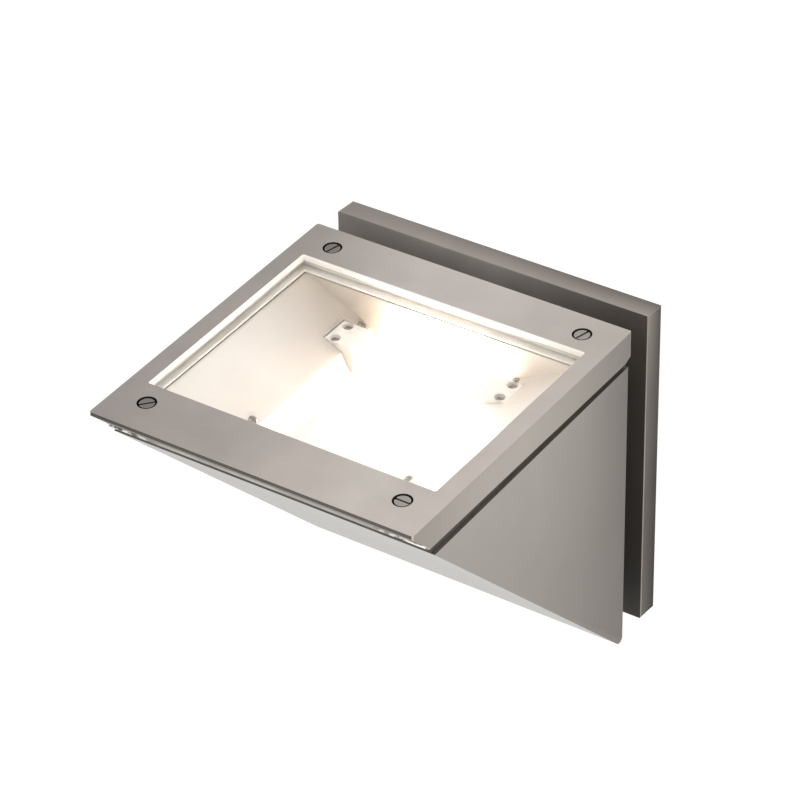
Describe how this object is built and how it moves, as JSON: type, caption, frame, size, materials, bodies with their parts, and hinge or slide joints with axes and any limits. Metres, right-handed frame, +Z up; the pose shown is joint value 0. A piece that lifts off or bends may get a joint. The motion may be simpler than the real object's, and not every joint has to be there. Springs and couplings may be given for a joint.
{
  "type": "wedge-shaped wall up-light",
  "caption": "Wedge-shaped stainless wall light with a square back plate, a clear glass lid and a linear lamp in a sheet reflector.",
  "frame": {"origin": "centre of the wall plate, on the wall", "axes": "+X to the right along the wall as the wall light is faced, +Y into the wall, +Z up"},
  "size_m": [0.2, 0.2281, 0.1948],
  "materials": {
    "satin_steel": "satin stainless, fine blasted",
    "inner_steel": "zinc plated sheet",
    "screw_steel": "turned stainless",
    "bright_aluminium": "bright rolled reflector sheet",
    "neck_metal": "dark anodised",
    "seal": "matt silicone",
    "clear_glass": "toughened, clear",
    "quartz": "clear quartz",
    "ceramic": "unglazed steatite",
    "contact_brass": "turned",
    "plated_brass": "nickel plated",
    "tungsten": "glowing coil",
    "lead_sleeve": "glass-fibre and silicone sleeve",
    "earth_sleeve": "green and yellow insulation"
  },
  "bodies": {
    "body": {"wall_bracket": "inner_steel", "bracket_studs": "screw_steel", "wall_gasket": "seal", "wall_plate": "satin_steel", "plate_grommet": "seal", "neck_frame": "neck_metal", "neck_seal_rear": "seal", "neck_seal_front": "seal", "housing_wrap": "satin_steel", "housing_rim": "satin_steel", "housing_side_left": "satin_steel", "housing_side_right": "satin_steel", "stud_washers": "screw_steel", "stud_nuts": "screw_steel", "cable_gland": "plated_brass", "gland_seal": "seal", "gland_nut": "plated_brass", "terminal_block": "ceramic", "terminal_screws": "contact_brass", "block_screws": "screw_steel", "earth_stud": "contact_brass", "earth_nut": "contact_brass", "chassis_plate": "inner_steel", "chassis_studs": "screw_steel", "chassis_nuts": "screw_steel", "reflector_posts": "inner_steel", "reflector": "bright_aluminium", "reflector_screws": "screw_steel", "holder_brackets": "inner_steel", "lampholder_left": "ceramic", "lampholder_right": "ceramic", "holder_screws": "screw_steel", "contact_spring_left": "screw_steel", "contact_spring_right": "screw_steel", "lamp_tube": "quartz", "lamp_caps": "ceramic", "lamp_filament": "tungsten", "lamp_lead_left": "lead_sleeve", "lamp_lead_right": "lead_sleeve", "earth_lead": "earth_sleeve", "lid_bushes": "screw_steel", "lid_gasket": "seal"},
    "lid": {"lid_frame": "satin_steel", "glass_gasket": "seal", "glass_pane": "clear_glass", "glass_frame": "screw_steel", "glass_frame_screws": "screw_steel", "lid_screws": "screw_steel"},
    "plunger_left": {"contact_plunger_left": "contact_brass"},
    "plunger_right": {"contact_plunger_right": "contact_brass"}
  },
  "joints": [
    {"name": "lid_lift", "type": "slide", "parent": "body", "child": "lid", "axis": [0, -0.0802, 0.9968], "range_m": [0, 0.08]},
    {"name": "plunger_left_slide", "type": "slide", "parent": "body", "child": "plunger_left", "axis": [-1, 0, 0], "range_m": [0, 0.003], "stiffness_N_per_m": 1500, "springref_m": -0.003, "deforming": ["contact_spring_left"]},
    {"name": "plunger_right_slide", "type": "slide", "parent": "body", "child": "plunger_right", "axis": [1, 0, 0], "range_m": [0, 0.003], "stiffness_N_per_m": 1500, "springref_m": -0.003, "deforming": ["contact_spring_right"]}
  ]
}
